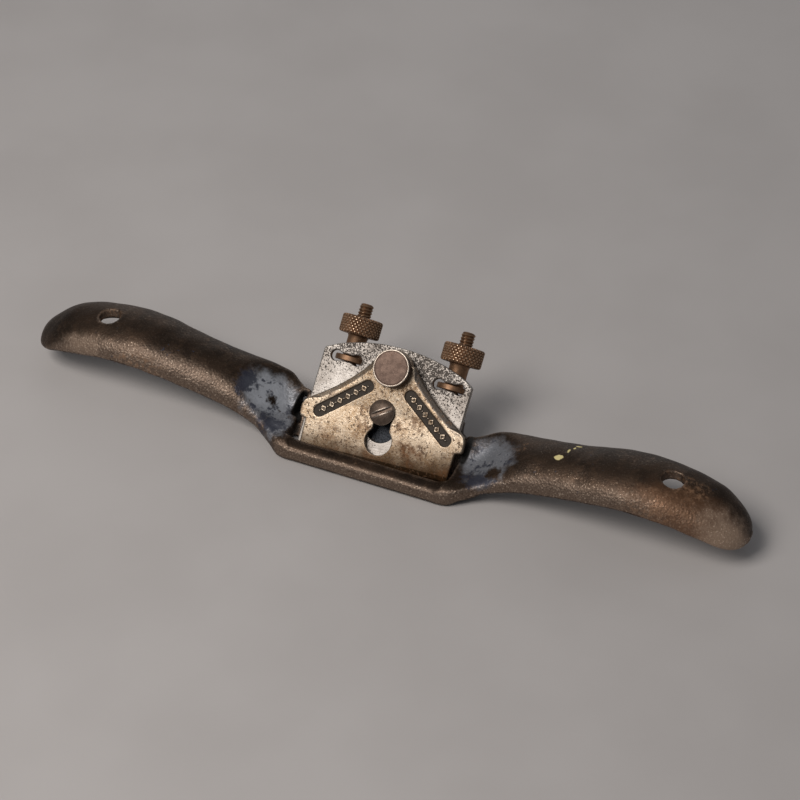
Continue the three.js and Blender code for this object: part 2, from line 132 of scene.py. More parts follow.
# x; front edge y, z; back edge y, z; crown; squareness; dish; arch of the hollow below
HANDLE_SECTIONS = np.array([
    [30.2, -9.4, 3.2, 12.7, 8.7, 4.0, 0.50, 4.0, -0.6],
    [33.0, -8.6, 3.2, 14.4, 8.8, 4.2, 0.50, 3.8, -0.6],
    [37.0, -6.6, 3.4, 16.8, 9.6, 4.5, 0.50, 2.8, 0.5],
    [42.0, -5.2, 5.2, 18.0, 9.9, 5.2, 0.55, 1.3, 1.6],
    [50.0, -4.3, 7.8, 18.4, 9.8, 7.6, 0.75, 0.2, 3.6],
    [60.0, -4.3, 10.4, 18.7, 10.9, 8.3, 1.0, 0.0, 4.8],
    [70.0, -4.7, 12.4, 19.1, 12.4, 8.4, 1.0, 0.0, 4.8],
    [85.0, -5.6, 15.2, 20.0, 15.2, 8.4, 1.0, 0.0, 4.8],
    [100.0, -5.6, 15.0, 20.0, 15.0, 8.4, 1.0, 0.0, 4.8],
    [114.0, -4.8, 11.9, 19.2, 12.1, 8.4, 1.0, 0.0, 4.8],
    [128.0, -4.6, 7.2, 18.6, 7.6, 8.0, 1.0, 0.0, 4.8],
])


# ---- Distance fields: negative inside ----

def polygon_distance(points, u, v):
    """Signed distance from the points (u, v) to a closed polygon."""
    u, v = np.broadcast_arrays(u, v)
    nearest = np.full(u.shape, 1e9)
    inside = np.zeros(u.shape, bool)
    for (u0, v0), (u1, v1) in zip(points, np.roll(points, -1, axis=0)):
        du, dv = u1 - u0, v1 - v0
        length = du * du + dv * dv
        if length < 1e-12:
            continue
        t = np.clip(((u - u0) * du + (v - v0) * dv) / length, 0, 1)
        nearest = np.minimum(nearest, (u - u0 - t * du) ** 2 + (v - v0 - t * dv) ** 2)
        if dv:
            inside ^= ((v0 > v) != (v1 > v)) & (u < u0 + (v - v0) * du / dv)
    return np.where(inside, -1, 1) * np.sqrt(nearest)


def both(a, b, radius=0.0):
    """What two fields share, with its edges rounded by about the radius."""
    high = np.maximum(a, b)
    if not radius:
        return high
    return high + np.maximum(radius - np.abs(a - b), 0) ** 2 / (4 * radius)


def either(a, b, radius=0.0):
    """Two fields together, with a fillet of about the radius."""
    return -both(-a, -b, radius)


def sample(field, at):
    """Values and slopes of a field at points in grid steps."""
    base = np.clip(np.floor(at).astype(int), 0, np.array(field.shape) - 2)
    share = at - base
    value = np.zeros(len(at))
    slope = np.zeros((len(at), 3))
    for corner in np.ndindex(2, 2, 2):
        found = field[tuple((base + corner).T)]
        weights = np.where(corner, share, 1 - share)
        value += found * weights.prod(1)
        for axis in range(3):
            others = np.delete(weights, axis, 1).prod(1)
            slope[:, axis] += found * others * (1 if corner[axis] else -1)
    return value, slope


def neighbour_mean(values, edges):
    """The mean of each point's neighbours along the edges."""
    total = np.zeros_like(values)
    count = np.bincount(edges.ravel(), minlength=len(values))
    for a, b in (edges.T, edges.T[::-1]):
        for column in range(values.shape[1]):
            total[:, column] += np.bincount(a, values[b, column], len(values))
    return total / np.maximum(count, 1)[:, None]


def skin(field, low, step, rounds=3, relax=0):
    """A closed mesh of even quads on a field's zero level, with how convex it is at each point."""
    inside = field < 0
    cells = tuple(n - 1 for n in field.shape)
    ids, places, quads = [], [], []
    for axis in range(3):
        u, v = (axis + 1) % 3, (axis + 2) % 3
        ahead = np.eye(3, dtype=int)[axis]
        start = np.argwhere(np.diff(inside, axis=axis))
        here = field[tuple(start.T)]
        there = field[tuple((start + ahead).T)]
        place = start + ahead * (here / (here - there))[:, None]
        corners = []
        for back_u, back_v in ((0, 0), (1, 0), (1, 1), (0, 1)):
            cell = start.copy()
            cell[:, u] -= back_u
            cell[:, v] -= back_v
            corners.append(np.ravel_multi_index(cell.T, cells))
            ids.append(corners[-1])
            places.append(place)
        quad = np.stack(corners, 1)
        quads.append(np.where((here < 0)[:, None], quad, quad[:, ::-1]))
    names, index = np.unique(np.concatenate(ids), return_inverse=True)
    places = np.concatenate(places)
    count = np.bincount(index)
    at = np.stack([np.bincount(index, places[:, k]) / count for k in range(3)], 1)
    faces = np.searchsorted(names, np.concatenate(quads))
    edges = np.sort(np.concatenate([faces[:, [0, 1]], faces[:, [1, 2]], faces[:, [2, 3]],
                                    faces[:, [3, 0]]]), axis=1)
    edges = np.unique(edges, axis=0)
    for _ in range(rounds):
        at += 0.6 * (neighbour_mean(at, edges) - at)
        for _ in range(2):
            value, slope = sample(field, at)
            square = np.maximum((slope ** 2).sum(1), 1e-6)
            move = slope * (value / square)[:, None]
            size = np.linalg.norm(move, axis=1, keepdims=True)
            at -= move * np.minimum(1, 0.5 / np.maximum(size, 1e-9))
    value, slope = sample(field, at)
    normal = slope / np.maximum(np.linalg.norm(slope, axis=1, keepdims=True), 1e-9)
    for _ in range(relax):
        at += 0.5 * (neighbour_mean(at, edges) - at)
        at -= 0.52 * (neighbour_mean(at, edges) - at)
    bend = -((neighbour_mean(at, edges) - at) * normal).sum(1, keepdims=True)
    for _ in range(4):
        bend = neighbour_mean(bend, edges)
    return np.array(low) + at * step, faces, normal, 4 * bend[:, 0] / step


# ---- Meshes ----

def bed_to_row(points):
    """From the bed's x, s and h to the object's x, y and z."""
    x, s, h = np.asarray(points, float).T
    return np.column_stack([x, BED_FOOT_Y + (s - h) * DIAGONAL, (s + h) * DIAGONAL])


def make_object(name, points, faces, material, sharp_angle=None, **values):
    """An object from points in millimetres. values are stored as one number per point."""
    mesh = bpy.data.meshes.new(name)
    mesh.from_pydata((np.asarray(points) * MM).tolist(), [], [list(map(int, f)) for f in faces])
    mesh.shade_smooth()
    if sharp_angle:
        mesh.set_sharp_from_angle(angle=sharp_angle)
    for label, value in values.items():
        attribute = mesh.attributes.new(label, "FLOAT", "POINT")
        attribute.data.foreach_set("value", np.asarray(value, np.float32))
    mesh.materials.append(material)
    piece = bpy.data.objects.new(name, mesh)
    bpy.context.scene.collection.objects.link(piece)
    return piece


def stand_in(piece, node, body):
    """The piece is shown in the node's place, and moves with its body."""
    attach(piece, body)
    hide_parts(node)
    return piece


def speckle(shape, size, seed):
    """Smooth random values from 0 to 1 over a grid, with blobs of a size in grid steps."""
    random = np.random.default_rng(seed)
    values = random.random(shape)
    for axis, n in enumerate(shape):
        wave = np.fft.fftfreq(n)
        damp = np.exp(-2 * (math.pi * wave * size) ** 2)
        damp = damp.reshape([-1 if k == axis else 1 for k in range(len(shape))])
        values = np.fft.ifft(np.fft.fft(values, axis=axis) * damp, axis=axis).real
    order = values.ravel().argsort().argsort().reshape(shape)
    return order / (values.size - 1)


# ---- Body casting ----

def handle_numbers(x):
    """The handle's section at x: a smooth curve through the table's rows."""
    table_x = HANDLE_SECTIONS[:, 0]
    rows = HANDLE_SECTIONS[:, 1:]
    i = int(np.clip(np.searchsorted(table_x, x) - 1, 0, len(table_x) - 2))
    t0, t1 = table_x[i], table_x[i + 1]
    before = table_x[i - 1] if i > 0 else 2 * t0 - t1
    after = table_x[i + 2] if i + 2 < len(table_x) else 2 * t1 - t0
    row_before = rows[i - 1] if i > 0 else rows[i + 1]
    row_after = rows[i + 2] if i + 2 < len(table_x) else rows[i]
    p = (x - t0) / (t1 - t0)
    half = (t1 - t0) / 2
    low, high = half / (t0 - before), half / (after - t1)
    return (row_before * (-low * p ** 3 + 2 * low * p ** 2 - low * p)
            + rows[i] * ((1 + low) * p ** 3 - (1.5 + 2 * low) * p ** 2 + (low - 0.5) * p + 1)
            + rows[i + 1] * (-(1 + high) * p ** 3 + (1.5 + high) * p ** 2 + 0.5 * p)
            + row_after * (high * p ** 3 - high * p ** 2))


def handle_section(x):
    """The closed outline of a handle at x, in y and z."""
    front_y, front_z, back_y, back_z, crown, squareness, dish, arch = handle_numbers(x)
    share = max(0.0, (x - TIP_START_X) / (HANDLE_TIP_X - TIP_START_X))
    tip = max(0.0, 1 - share ** TIP_FULLNESS) ** (1 / TIP_FULLNESS)
    half = tip * (back_y - front_y) / 2
    slope = (back_z - front_z) / (back_y - front_y)
    rim = min(RIM_WIDTH, half * 0.9)
    angle = np.linspace(0, math.pi, 81)
    rise = np.sin(angle)
    over_y = -half * np.cos(angle)
    over_z = tip * (crown * rise ** squareness - dish * rise ** 3)
    under_y = (half - rim / 2) * np.cos(angle)
    arch *= min(1.0, (HANDLE_TIP_X - x) / 5)
    under_z = tip * (arch * np.maximum(0, (rise - 0.2) / 0.8) - rim / 2)
    y = np.concatenate([over_y, under_y])
    z = np.concatenate([over_z, under_z]) + slope * y
    return np.column_stack([y + (front_y + back_y) / 2, z + (front_z + back_z) / 2])


def bed_point(s, h):
    """A point of the bed's frame in y and z."""
    return bed_to_row([[0, s, h]])[0, 1:]


def bezier(p0, p1, p2, p3, count):
    """Points along a cubic curve."""
    t = np.linspace(0, 1, count)[:, None]
    return ((1 - t) ** 3 * np.array(p0) + 3 * t * (1 - t) ** 2 * np.array(p1)
            + 3 * t ** 2 * (1 - t) * np.array(p2) + t ** 3 * np.array(p3))


def casting_outlines(y, z):
    """Distances to the side outlines of the toe bar, the heel with its bed, and the cheeks."""
    toe = np.array([
        [TOE_BACK_Y, -1], [TOE_BACK_Y, TOE_HEIGHT], [TOE_FRONT_Y + 3.6, TOE_HEIGHT],
        [TOE_FRONT_Y + 2.1, TOE_HEIGHT - 0.35], [TOE_FRONT_Y + 0.8, TOE_HEIGHT - 1.3],
        [TOE_FRONT_Y, TOE_HEIGHT - 2.9], [TOE_FRONT_Y, 0.9], [TOE_FRONT_Y + 0.9, 0],
        [TOE_FRONT_Y + 0.9, -1]])
    heel = np.array([
        bed_point(-BED_H, BED_H), [HEEL_BACK_Y, 0], [HEEL_BACK_Y, HEEL_HEIGHT],
        bed_point(BED_TOP_S, BED_H - BED_THICKNESS), bed_point(BED_TOP_S, BED_H)])
    cheek = np.array([
        [TOE_BACK_Y - 1, 0], [HEEL_BACK_Y, 0], [HEEL_BACK_Y, HEEL_HEIGHT],
        bed_point(CHEEK_TOP_S, BED_H - 4.2), bed_point(CHEEK_TOP_S, BED_H), [5.4, 6.5],
        [TOE_BACK_Y - 1, TOE_HEIGHT]])
    return [polygon_distance(outline, y, z) for outline in (toe, heel, cheek)]


def toe_outline():
    """The toe bar seen from above, swept back into the handle."""
    sweep = bezier((26.5, TOE_FRONT_Y), (31.5, TOE_FRONT_Y), (32.6, -9.0), (37.5, -5.6), 14)
    back = TOE_BACK_Y + 2.5
    return np.concatenate([[[-5, TOE_FRONT_Y]], sweep, [[37.5, back], [-5, back]]])


def handle_field(x, y, z, h):
    """The handle at one x, cut off at the mouth, and above the bed's face beside the cheek."""
    section_x = min(max(x, CHEEK_X), HANDLE_TIP_X - 0.2)
    handle = polygon_distance(handle_section(section_x), y, z)
    handle = np.clip(both(handle, np.full_like(handle, x - HANDLE_TIP_X), 0.5), -3, 3)
    handle = both(handle, np.full_like(handle, MOUTH_HALF_WIDTH + 0.1 - x), 0.7)
    if x < CHEEK_X + 0.6:
        handle = np.maximum(handle, np.where(y > 3.5, h - BED_H, -9))
    return handle


def throat_field(x, y, h, half_width):
    """The room in front of the bed, between the cheeks."""
    return np.maximum(np.maximum(x - half_width, TOE_BACK_Y - y), BED_H - h)


def drill(whole, x, y, z, s, h):
    """Cuts the tapped hole, the stud's hole, and the hang hole with the pocket below it."""
    if x < 5:
        whole = both(whole, TAPPED_HOLE_RADIUS - np.hypot(x, s - CAP_SCREW_S), 0.3)
    if abs(x - SLOT_X) < 6:
        stud = np.hypot(x - SLOT_X, h - STUD_H) - STUD_RADIUS
        whole = both(whole, -np.maximum(stud - 0.15, STUD_LOW_S - 0.3 - s), 0.3)
    if abs(x - HANG_HOLE[0]) < 8:
        from_hole = np.hypot(x - HANG_HOLE[0], y - HANG_HOLE[1])
        whole = both(whole, HANG_HOLE_RADIUS - from_hole, 0.7)
        pocket = np.maximum(from_hole - HOLE_POCKET_RADIUS, z - HOLE_POCKET_TOP_Z)
        whole = both(whole, -pocket, 1.2)
    return whole


def casting_field(step):
    """The right half of the casting and its mirror image, with more room at the left's mouth."""
    xs = np.arange(0, HANDLE_TIP_X + 2 * step + 1, step)
    ys = np.arange(TOE_FRONT_Y - 3 * step, 21.5, step)
    zs = np.arange(-3 * step, 25.5, step)
    y, z = np.meshgrid(ys, zs, indexing="ij")
    s = (y - BED_FOOT_Y + z) * DIAGONAL
    h = (z - y + BED_FOOT_Y) * DIAGONAL
    toe_side, heel, cheek = casting_outlines(y, z)
    toe_plan = toe_outline()
    bed_plan = np.array([[-9, -5], [30.6, -5], [30.6, 16.5], [25.5, 20], [25.5, 26], [-9, 26]])
    slope_length = math.hypot(1, SOLE_END_SLOPE)
    slabs = []
    for x in xs:
        along = polygon_distance(toe_plan, x, ys)[:, None]
        toe = both(toe_side, along, 1.8)
        block = both(both(heel, x - MOUTH_HALF_WIDTH, 0.3), polygon_distance(bed_plan, x, s), 0.8)
        if abs(x - SLOT_X) < 12:
            boss = np.hypot(x - SLOT_X, h - STUD_H) - STUD_BOSS_RADIUS
            boss = both(boss, np.maximum(12.5 - s, s - 26), 1.0)
            block = either(block, both(boss, h - BED_H, 0.4), 2.0)
        if x > 20:
            side = both(cheek, np.maximum(MOUTH_HALF_WIDTH - x, x - CHEEK_X - 2), 0.3)
            handle = handle_field(x, y, z, h)
            block = either(np.minimum(block, side), handle, 1.2)
            toe = either(toe, handle, 4.0)
        whole = either(block, toe, 1.0)
        whole = both(whole, -throat_field(x, y, h, MOUTH_HALF_WIDTH), 0.4)
        whole = drill(whole, x, y, z, s, h)
        whole = both(whole, -z, 0.5)
        if x > SOLE_END_X - 4:
            under = min((x - SOLE_END_X) * SOLE_END_SLOPE, SOLE_END_RISE) - z
            whole = both(whole, under / slope_length, 0.8)
        slabs.append(whole.astype(np.float32))
    right = np.stack(slabs)
    left = right.copy()
    for i, x in enumerate(xs):
        if 27 < x < 34:
            ear_room = np.maximum(polygon_distance(EAR_ROOM, x, y), EAR_ROOM_FLOOR_Z - z)
            throat = throat_field(x, y, h, LEFT_MOUTH_HALF_WIDTH)
            left[i] = both(left[i], -np.minimum(ear_room, throat), 0.4)
    return np.concatenate([left[:0:-1], right]), (-xs[-1], ys[0], zs[0])


def make_casting(material):
    step = 0.56
    field, low = casting_field(step)
    points, faces, normal, bend = skin(field, low, step, 3, 8)
    waves = (((0.31, 0.52, 0.4), 0.3), ((-0.47, 0.36, 0.61), 1.9), ((0.73, -0.55, 0.2), 4.1))
    ripple = sum(np.sin(points @ np.array(wave) + phase) for wave, phase in waves)
    machined = (points[:, 2] < 0.4) | (np.abs(points[:, 0]) < MOUTH_HALF_WIDTH + 0.5)
    points = points + normal * np.where(machined, 0, 0.035 * ripple)[:, None]
    # How far each point faces forward and to the right. The paint turns such faces pale bronze: partly
    # wear, partly a painted highlight.
    facing = 0.5 * normal[:, 0] - 0.87 * normal[:, 1]
    front = np.clip((facing - 0.3) / 0.45, 0, 1) * (normal[:, 2] > -0.3)
    piece = make_object("casting", points, faces, material, edge=bend, front=front)
    return stand_in(piece, "body_casting", "frame")


# ---- Cutter, cap and screws ----

def stadium_distance(x, s, low, high, radius):
    """A long round-ended opening on the middle line, from low to high in s."""
    return np.hypot(x, s - np.clip(s, low, high)) - radius


def nearest_cell(points, low, step, shape):
    """The grid point nearest to each point, in the first two axes."""
    at = np.round((points[:, :2] - low) / step).astype(int)
    return tuple(np.clip(at, 0, np.array(shape) - 1).T)


def cutter_outline(x, s):
    """The plate seen square to its face: straight sides, an arched top and trimmed corners."""
    top_s = CUTTER_CORNER_S + CUTTER_CROWN
    rise = top_s - CUTTER_ARC_S
    radius = (CUTTER_ARC_X ** 2 + rise ** 2) / (2 * rise)
    beyond = np.abs(x) - CUTTER_HALF_WIDTH
    plan = both(beyond, np.hypot(x, s - top_s + radius) - radius, 0.4)
    trim = beyond * CUTTER_CORNER_NORMAL[0] + (s - CUTTER_CORNER_S) * CUTTER_CORNER_NORMAL[1]
    plan = both(plan, trim, 0.5)
    return both(plan, CUTTER_EDGE_S - s)


def cutter_openings(x, s):
    """The long opening, and the two flange slots with their round ends."""
    opening = stadium_distance(x, s, OPENING_LOW_S, OPENING_HIGH_S, OPENING_RADIUS)
    for centre in (-SLOT_X, SLOT_X):
        off = np.abs(x - centre) - SLOT_END_X
        ends = np.hypot(off, s - SLOT_S) - SLOT_END_RADIUS
        waist = np.maximum(off, np.abs(s - SLOT_S) - SLOT_WAIST_HALF_WIDTH)
        opening = np.minimum(opening, either(ends, waist, 0.9))
    return opening


def make_cutter(material):
    step = 0.22
    xs = np.arange(-CUTTER_HALF_WIDTH - 3 * step, CUTTER_HALF_WIDTH + 4 * step, step)
    ss = np.arange(-3 * step, CUTTER_CORNER_S + CUTTER_CROWN + 4 * step, step)
    hs = np.arange(-CUTTER_THICKNESS - 3 * step, 3 * step, step)
    x, s = np.meshgrid(xs, ss, indexing="ij")
    h = hs[None, None, :]
    middle = CUTTER_THICKNESS / 2
    field = both(cutter_outline(x, s)[..., None], np.abs(h + middle) - middle, 0.3)
    field = both(field, -cutter_openings(x, s)[..., None], 0.35)
    bevel = -h * math.cos(BEVEL_ANGLE) - (s[..., None] - CUTTER_EDGE_S) * math.sin(BEVEL_ANGLE)
    field = both(field, bevel)
    points, faces, normal, bend = skin(field, (xs[0], ss[0], hs[0]), step, 2)
    # Pitting is heaviest near the top, in patches, and lighter on the right
    patch = speckle(x.shape, 2.6 / step, 11)
    heavy = np.clip((s - 21) / 13, 0, 1) * 0.55 + patch * 0.45 - 0.16 * (x > 0)
    pitting = heavy[nearest_cell(points, [xs[0], ss[0]], step, x.shape)] * (normal[:, 2] > 0.5)
    points[:, 0] -= CUTTER_LEFT_SPARE * np.clip(-(points[:, 0] + 25) / 2, 0, 1)
    piece = make_object("cutter_blade", bed_to_row(points), faces, material, pitting=pitting, edge=bend)
    return stand_in(piece, "cutter", "blade")


def cap_side(sign):
    """One side of the cap's outline, from its lower edge past the ear to the boss."""
    spare = CAP_LEFT_SPARE if sign < 0 else 0.0
    points = [[25.2 + spare, 0], [25.8 + spare, 1.2], [26.5, 11], [28.5, 11.6], [28.9, 12.4],
              [28.9, 15.4], [28.3, 17.0], [25.9, 19]]
    t = np.linspace(0, 1, 12)[1:, None]
    a, b, c = np.array([25.9, 19]), np.array([16.5, 24.6]), np.array([9.6, 32.2])
    points += ((1 - t) ** 2 * a + 2 * t * (1 - t) * b + t * t * c).tolist()
    points += [[8.2, 34.0], [7.0, 35.6]]
    return [[sign * u, v] for u, v in points]


def cap_surfaces(s):
    """Heights of the cap's bowed top and back."""
    top = np.interp(s, [0.9, 1.5, 3, 6, 18.7, 41], [0.7, 1.3, 1.8, 2.05, 2.7, 4.9])
    back = np.interp(s, [0.9, 9, 18.7, 33.4, 41], [0.3, 0.3, 0.8, 2.3, 2.9])
    return top, back


def panel_place(x, s):
    """Distances along and across a panel's middle line, and the line's length."""
    inner, outer = np.array(PANEL_INNER), np.array(PANEL_OUTER)
    length = np.linalg.norm(outer - inner)
    run = (outer - inner) / length
    out, up = np.abs(x) - inner[0], s - inner[1]
    return out * run[0] + up * run[1], up * run[0] - out * run[1], length


def lozenge_row(u, v, length):
    """A row of hollow lozenges with dots in them and between them."""
    row = np.full_like(u, 9.0)
    for i in range(LOZENGES):
        centre = length * (i + 0.5) / LOZENGES
        lozenge = (np.abs(u - centre) / 1.15 + np.abs(v) / 1.35 - 1) * 0.87
        row = np.minimum(row, np.abs(lozenge + 0.28) - 0.24)
        row = np.minimum(row, np.hypot(u - centre, v) - 0.2)
    for i in range(LOZENGES + 1):
        row = np.minimum(row, np.hypot(u - length * i / LOZENGES, v) - 0.28)
    return row


def make_cap(material):
    step = 0.2
    xs = np.arange(-29.2 - 3 * step, 29.2 + 4 * step, step)
    ss = np.arange(0.6 - 3 * step, 40.4 + 4 * step, step)
    hs = np.arange(-2 * step, 5.4, step)
    x, s = np.meshgrid(xs, ss, indexing="ij")
    plan = polygon_distance(np.array(cap_side(1) + cap_side(-1)[::-1]), x, s)
    plan = either(plan, np.hypot(x, s - THUMB_SCREW_S) - CAP_BOSS_RADIUS, 0.6)
    top, back = cap_surfaces(s)
    h = hs[None, None, :]
    above = h - top[..., None]
    field = both(plan[..., None], above, 0.5)
    # The bevel along the two slanted upper edges
    slant = np.clip((s - 16.5) / 2.5, 0, 1) * np.clip((np.abs(x) - 5) / 3, 0, 1)
    bevel = (plan + 1.9 * slant)[..., None] * 0.42 + above * 0.9
    field = both(field, bevel - (1 - slant)[..., None] * 0.6, 0.25)
    field = both(field, back[..., None] - h, 0.3)
    field = both(field, (0.9 - s)[..., None], 0.4)
    neck = stadium_distance(x, s, KEYHOLE_S, CAP_SCREW_S, KEYHOLE_NECK_HALF_WIDTH)
    keyhole = either(np.hypot(x, s - KEYHOLE_S) - KEYHOLE_RADIUS, neck, 0.5)
    field = both(field, -keyhole[..., None], 0.25)
    field = both(field, (THUMB_HOLE_RADIUS - np.hypot(x, s - THUMB_SCREW_S))[..., None], 0.2)
    u, v, length = panel_place(x, s)
    pill = np.hypot(u - np.clip(u, 0, length), v) - PANEL_HALF_WIDTH
    recess = both(pill[..., None], -above - PANEL_DEPTH, 0.15)
    raised = both(lozenge_row(u, v, length)[..., None], above + 0.12, 0.1)
    field = both(field, -both(recess, -raised, 0.1), 0.12)
    points, faces, normal, bend = skin(field, (xs[0], ss[0], hs[0]), step, 2)
    cell = nearest_cell(points, [xs[0], ss[0]], step, x.shape)
    deep = np.clip(top[cell] - points[:, 2], 0, 1) / PANEL_DEPTH
    panel = (pill[cell] < 0.1) * np.clip(deep - 0.35, 0, 0.5) * 2
    # Where the slanted bevels face up, weighted more on the right; the paint greys them as painted shade.
    bevelled = slant[cell] * (plan[cell] > -1.95) * (normal[:, 2] > 0.3)
    bevelled = bevelled * np.where(points[:, 0] > 0, 1, 0.4)
    cos, sin = math.cos(CAP_SKEW), math.sin(CAP_SKEW)
    points[:, :2] = (points[:, :2] - [0, THUMB_SCREW_S]) @ np.array([[cos, sin], [-sin, cos]])
    points[:, 1] += THUMB_SCREW_S
    piece = make_object("cap_plate", bed_to_row(points), faces, material, panel=panel, edge=bend,
                        bevelled=bevelled)
    return stand_in(piece, "lever_cap", "cap")


def make_screw(name, node, body, centre_s, field_of, box, material):
    """A screw square to the cutter's face, from a field of its x, y and h."""
    step = 0.15
    radius, low, high = box
    side = np.arange(-radius - 3 * step, radius + 4 * step, step)
    hs = np.arange(low - 3 * step, high + 4 * step, step)
    x, y, h = np.meshgrid(side, side, hs, indexing="ij")
    points, faces, normal, bend = skin(field_of(x, y, h), (side[0], side[0], hs[0]), step, 2)
    # The head's top rim counts as a sharp edge, so the paint makes it bright: wear and a painted
    # highlight.
    rim = (np.hypot(points[:, 0], points[:, 1]) > radius - 0.55) & (normal[:, 2] > 0.15)
    bend = bend + rim * (points[:, 2] > high - 0.8) * 3.0
    points[:, 1] += centre_s
    piece = make_object(name, bed_to_row(points), faces, material, edge=bend)
    return stand_in(piece, node, body)


def thumb_field(x, y, h):
    """A low reeded head with a groove round its face, and its shank."""
    r = np.hypot(x, y)
    reeds = 0.05 * np.cos(THUMB_REEDS * np.arctan2(y, x))
    side = r - THUMB_HEAD_RADIUS - reeds * (h < 7.5)
    head = both(side, np.abs(h - 6.42) - 1.48 + 0.0004 * r ** 3, 0.35)
    head = both(head, -both(np.abs(r - 5.6) - 0.12, 7.74 - h, 0.1), 0.1)
    shank = both(r - 2.6, np.maximum(0.3 - h, h - 5.5), 0.3)
    return either(head, shank, 0.3)


def cap_screw_field(x, y, h):
    """A domed slotted head on its shank."""
    r = np.hypot(x, y)
    dome = np.sqrt(r ** 2 + (h + 3.1) ** 2) - 8.05
    head = both(both(r - CAP_SCREW_HEAD_RADIUS, dome, 0.3), CAP_SCREW_HEAD_LOW_H - h, 0.15)
    shank = both(r - 2.3, np.maximum(-8.5 - h, h - 4), 0.3)
    across = y * math.cos(DRIVER_SLOT_ANGLE) - x * math.sin(DRIVER_SLOT_ANGLE)
    slot = both(np.abs(across) - 0.55, 4.0 - h)
    return both(either(head, shank, 0.2), -slot, 0.2)


def polar(name, rows, sides, material, place, closed=False, **values):
    """A turned mesh. rows gives each ring's radius (a number or one per side) and its height."""
    angle = np.linspace(0, 2 * math.pi, sides, endpoint=False)
    points = []
    for radius, height in rows:
        radius = np.broadcast_to(radius, sides)
        points.append(np.column_stack([radius * np.cos(angle), radius * np.sin(angle),
                                       np.full(sides, height)]))
    points = np.concatenate(points)
    rings = len(rows)
    faces = []
    for ring in range(rings if closed else rings - 1):
        low, high = ring * sides, (ring + 1) % rings * sides
        for k in range(sides):
            after = (k + 1) % sides
            faces.append((low + k, low + after, high + after, high + k))
    if not closed:
        faces.append(tuple(range(sides))[::-1])
        faces.append(tuple(range((rings - 1) * sides, rings * sides)))
    return make_object(name, place(points), faces, material, math.radians(38), **values)


def along_stud(x):
    """Turned meshes stand on +Z; this lays them along the studs, at x."""
    def place(points):
        return bed_to_row(np.column_stack([points[:, 0] + x, points[:, 2], STUD_H - points[:, 1]]))
    return place


def triangle(value):
    """A wave from 1 down to 0 and back, once per unit."""
    return np.abs((value % 1) * 2 - 1)


def make_stud(side, x, material):
    sides = 48
    angle = np.linspace(0, 1, sides, endpoint=False)
    rows = [(STUD_RADIUS - 0.3, STUD_LOW_S)]
    for height in np.arange(STUD_LOW_S + 0.2, STUD_THREAD_TOP_S, 0.13):
        depth = THREAD_DEPTH * triangle(height / THREAD_PITCH - angle)
        rows.append((STUD_RADIUS - depth, height))
    rows += [(STUD_RADIUS - 0.55, 51.95), (STUD_RADIUS - 0.9, 52.15), (STUD_RADIUS - 1.3, 52.2)]
    groove = np.concatenate([np.broadcast_to(STUD_RADIUS - np.asarray(r), sides) for r, _ in rows])
    piece = polar(f"stud_{side}", rows, sides, material, along_stud(x), edge=0.25 - groove / THREAD_DEPTH)
    return stand_in(piece, f"adjusting_stud_{side}", "frame")


def make_nut(side, x, material):
    """A nut with a flange below, a neck, and a knurled head with rounded edges."""
    sides = 360
    angle = np.linspace(0, 1, sides, endpoint=False)
    rows, crest = [], []

    def ring(radius, height, knurl=0.0):
        first = triangle(NUT_KNURL_COUNT * angle + height * NUT_KNURL_LEAN)
        second = triangle(NUT_KNURL_COUNT * angle - height * NUT_KNURL_LEAN)
        raised = np.minimum(first, second)
        rows.append((radius - knurl * (1 - np.minimum(1, 1.7 * raised)), height))
        crest.append((0.2 + 1.3 * raised) * (knurl > 0))

    for height in np.linspace(47.0, 32.2, 8):
        ring(NUT_BORE_RADIUS, height)
    for radius, height in ((2.8, 31.95), (5.2, 31.95), (5.45, 32.15), (5.45, 33.65), (5.2, 33.85),
                           (3.5, 33.85), (3.3, 34.1), (3.3, 40.3), (3.55, 40.95), (4.0, 41.2),
                           (6.0, 41.2)):
        ring(radius, height)
    for height in np.linspace(41.25, 47.4, 72):
        edge = max(0.0, abs(height - 44.32) - 2.35) / 0.75
        fall = 0.75 * (1 - math.sqrt(max(0.0, 1 - edge ** 2)))
        ring(NUT_KNURL_RADIUS - fall, height, NUT_KNURL_DEPTH)
    for radius, height in ((5.9, 47.44), (3.3, 47.44), (2.75, 47.25)):
        ring(radius, height)
    piece = polar(f"nut_{side}", rows, sides, material, along_stud(x), closed=True,
                  edge=np.concatenate(crest))
    return stand_in(piece, f"adjusting_nut_{side}", f"nut_{side}")


# ---- Materials ----

